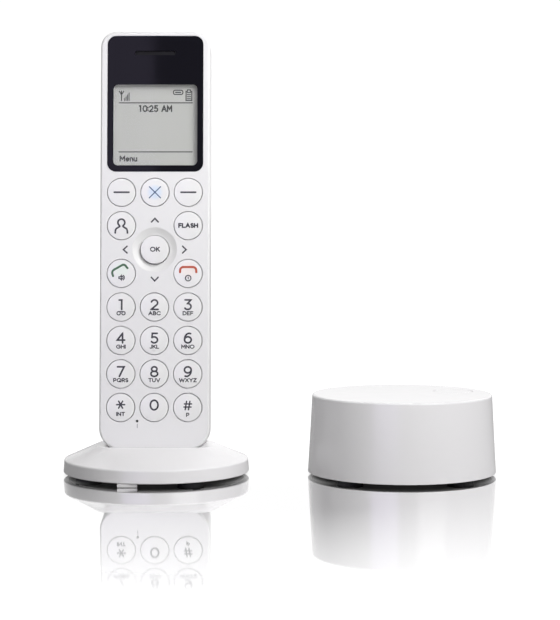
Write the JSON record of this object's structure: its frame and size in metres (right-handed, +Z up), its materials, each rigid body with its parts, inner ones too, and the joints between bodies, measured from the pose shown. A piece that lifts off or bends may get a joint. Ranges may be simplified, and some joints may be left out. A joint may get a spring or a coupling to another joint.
{
  "type": "cordless phone with base",
  "caption": "Slim cordless phone handset leaning in a low round charging cradle, with a separate drum-shaped line station beside it.",
  "frame": {"origin": "centre of the whole footprint, level with the feet of both bases", "axes": "+Z up, +Y away from the user behind the bases, +X from the cradle towards the station"},
  "size_m": [0.1794, 0.078, 0.1833],
  "materials": {
    "shell_white": "glossy white moulding",
    "lens_black": "clear window printed black on its back",
    "lcd_grey": "grey display glass",
    "grille_metal": "fine pressed mesh",
    "speaker_black": "black capsule",
    "board_green": "solder mask over glass laminate",
    "tin_plate": "tinned steel",
    "silicone_grey": "translucent silicone",
    "film_clear": "polyester film with steel domes",
    "contact_metal": "plated spring brass",
    "pin_gold": "gold plated brass",
    "cell_sleeve": "printed cell sleeve",
    "screw_steel": "zinc plated steel",
    "spring_steel": "bright spring wire",
    "key_white": "satin white key",
    "base_white": "glossy white moulding",
    "base_under": "pale grey underside",
    "foot_black": "black rubber",
    "socket_black": "black socket moulding",
    "switch_black": "tact switch"
  },
  "bodies": {
    "cradle": {"cradle_top": "base_white", "cradle_bottom": "base_under", "cradle_feet": "foot_black", "cradle_board": "board_green", "cradle_jack": "socket_black", "cradle_screws": "screw_steel", "charge_spring_left": "spring_steel", "charge_spring_right": "spring_steel"},
    "handset": {"front_cover": "shell_white", "rear_cover": "shell_white", "display_lens": "lens_black", "lcd_panel": "lcd_grey", "earpiece_grille": "grille_metal", "earpiece_speaker": "speaker_black", "ringer_speaker": "speaker_black", "microphone": "speaker_black", "handset_board": "board_green", "radio_shield": "tin_plate", "keypad_mat": "silicone_grey", "dome_film": "film_clear", "handset_antenna": "contact_metal", "battery_cells": "cell_sleeve", "battery_contacts": "contact_metal", "charge_pads": "contact_metal", "case_screws": "screw_steel"},
    "battery_door": {"battery_door": "shell_white"},
    "nav_rocker": {"nav_rocker": "switch_black"},
    "nav_post": {"nav_post": "switch_black"},
    "charge_pin_left": {"charge_pin_left": "pin_gold"},
    "charge_pin_right": {"charge_pin_right": "pin_gold"},
    "station": {"station_housing": "base_white", "station_bottom": "base_under", "station_feet": "foot_black", "station_board": "board_green", "station_antennas": "contact_metal", "line_jack": "socket_black", "station_jack": "socket_black", "page_switch": "switch_black", "station_screws": "screw_steel"},
    "page_button": {"page_button": "base_white"},
    "key_soft_left": {"key_soft_left": "key_white"},
    "key_cancel": {"key_cancel": "key_white"},
    "key_soft_right": {"key_soft_right": "key_white"},
    "key_contacts": {"key_contacts": "key_white"},
    "key_flash": {"key_flash": "key_white"},
    "key_ok": {"key_ok": "key_white"},
    "key_talk": {"key_talk": "key_white"},
    "key_end": {"key_end": "key_white"},
    "key_1": {"key_1": "key_white"},
    "key_2": {"key_2": "key_white"},
    "key_3": {"key_3": "key_white"},
    "key_4": {"key_4": "key_white"},
    "key_5": {"key_5": "key_white"},
    "key_6": {"key_6": "key_white"},
    "key_7": {"key_7": "key_white"},
    "key_8": {"key_8": "key_white"},
    "key_9": {"key_9": "key_white"},
    "key_star": {"key_star": "key_white"},
    "key_0": {"key_0": "key_white"},
    "key_hash": {"key_hash": "key_white"}
  },
  "joints": [
    {"name": "handset_lift", "type": "slide", "parent": "cradle", "child": "handset", "axis": [0, 0.1184, 0.993], "range_m": [0, 0.06]},
    {"name": "station_place", "type": "slide", "parent": "cradle", "child": "station", "axis": [1, 0, 0], "range_m": [0, 0.12]},
    {"name": "battery_door_off", "type": "slide", "parent": "handset", "child": "battery_door", "axis": [0, 0.993, -0.1184], "range_m": [0, 0.03]},
    {"name": "nav_up_down", "type": "hinge", "parent": "handset", "child": "nav_rocker", "pos_m": [-0.05125, -0.00084, 0.09303], "axis": [1, 0, 0], "range_deg": [-2.5, 2.5], "stiffness_Nm_per_rad": 0.1},
    {"name": "nav_left_right", "type": "hinge", "parent": "nav_rocker", "child": "nav_post", "pos_m": [-0.05125, -0.00084, 0.09303], "axis": [0, 0.1184, 0.993], "range_deg": [-2.5, 2.5], "stiffness_Nm_per_rad": 0.1},
    {"name": "key_soft_left_press", "type": "slide", "parent": "handset", "child": "key_soft_left", "axis": [0, 0.993, -0.1184], "range_m": [0, 0.0006], "stiffness_N_per_m": 400},
    {"name": "key_cancel_press", "type": "slide", "parent": "handset", "child": "key_cancel", "axis": [0, 0.993, -0.1184], "range_m": [0, 0.0006], "stiffness_N_per_m": 400},
    {"name": "key_soft_right_press", "type": "slide", "parent": "handset", "child": "key_soft_right", "axis": [0, 0.993, -0.1184], "range_m": [0, 0.0006], "stiffness_N_per_m": 400},
    {"name": "key_contacts_press", "type": "slide", "parent": "handset", "child": "key_contacts", "axis": [0, 0.993, -0.1184], "range_m": [0, 0.0006], "stiffness_N_per_m": 400},
    {"name": "key_flash_press", "type": "slide", "parent": "handset", "child": "key_flash", "axis": [0, 0.993, -0.1184], "range_m": [0, 0.0006], "stiffness_N_per_m": 400},
    {"name": "key_ok_press", "type": "slide", "parent": "nav_post", "child": "key_ok", "axis": [0, 0.993, -0.1184], "range_m": [0, 0.0005], "stiffness_N_per_m": 400},
    {"name": "key_talk_press", "type": "slide", "parent": "handset", "child": "key_talk", "axis": [0, 0.993, -0.1184], "range_m": [0, 0.0006], "stiffness_N_per_m": 400},
    {"name": "key_end_press", "type": "slide", "parent": "handset", "child": "key_end", "axis": [0, 0.993, -0.1184], "range_m": [0, 0.0006], "stiffness_N_per_m": 400},
    {"name": "key_1_press", "type": "slide", "parent": "handset", "child": "key_1", "axis": [0, 0.993, -0.1184], "range_m": [0, 0.0006], "stiffness_N_per_m": 400},
    {"name": "key_2_press", "type": "slide", "parent": "handset", "child": "key_2", "axis": [0, 0.993, -0.1184], "range_m": [0, 0.0006], "stiffness_N_per_m": 400},
    {"name": "key_3_press", "type": "slide", "parent": "handset", "child": "key_3", "axis": [0, 0.993, -0.1184], "range_m": [0, 0.0006], "stiffness_N_per_m": 400},
    {"name": "key_4_press", "type": "slide", "parent": "handset", "child": "key_4", "axis": [0, 0.993, -0.1184], "range_m": [0, 0.0006], "stiffness_N_per_m": 400},
    {"name": "key_5_press", "type": "slide", "parent": "handset", "child": "key_5", "axis": [0, 0.993, -0.1184], "range_m": [0, 0.0006], "stiffness_N_per_m": 400},
    {"name": "key_6_press", "type": "slide", "parent": "handset", "child": "key_6", "axis": [0, 0.993, -0.1184], "range_m": [0, 0.0006], "stiffness_N_per_m": 400},
    {"name": "key_7_press", "type": "slide", "parent": "handset", "child": "key_7", "axis": [0, 0.993, -0.1184], "range_m": [0, 0.0006], "stiffness_N_per_m": 400},
    {"name": "key_8_press", "type": "slide", "parent": "handset", "child": "key_8", "axis": [0, 0.993, -0.1184], "range_m": [0, 0.0006], "stiffness_N_per_m": 400},
    {"name": "key_9_press", "type": "slide", "parent": "handset", "child": "key_9", "axis": [0, 0.993, -0.1184], "range_m": [0, 0.0006], "stiffness_N_per_m": 400},
    {"name": "key_star_press", "type": "slide", "parent": "handset", "child": "key_star", "axis": [0, 0.993, -0.1184], "range_m": [0, 0.0006], "stiffness_N_per_m": 400},
    {"name": "key_0_press", "type": "slide", "parent": "handset", "child": "key_0", "axis": [0, 0.993, -0.1184], "range_m": [0, 0.0006], "stiffness_N_per_m": 400},
    {"name": "key_hash_press", "type": "slide", "parent": "handset", "child": "key_hash", "axis": [0, 0.993, -0.1184], "range_m": [0, 0.0006], "stiffness_N_per_m": 400},
    {"name": "charge_pin_left_press", "type": "slide", "parent": "cradle", "child": "charge_pin_left", "axis": [0, 0, -1], "range_m": [0, 0.0009], "stiffness_N_per_m": 200, "deforming": ["charge_spring_left"]},
    {"name": "charge_pin_right_press", "type": "slide", "parent": "cradle", "child": "charge_pin_right", "axis": [0, 0, -1], "range_m": [0, 0.0009], "stiffness_N_per_m": 200, "deforming": ["charge_spring_right"]},
    {"name": "page_button_press", "type": "slide", "parent": "station", "child": "page_button", "axis": [0, 0, -1], "range_m": [0, 0.0008], "stiffness_N_per_m": 400}
  ]
}
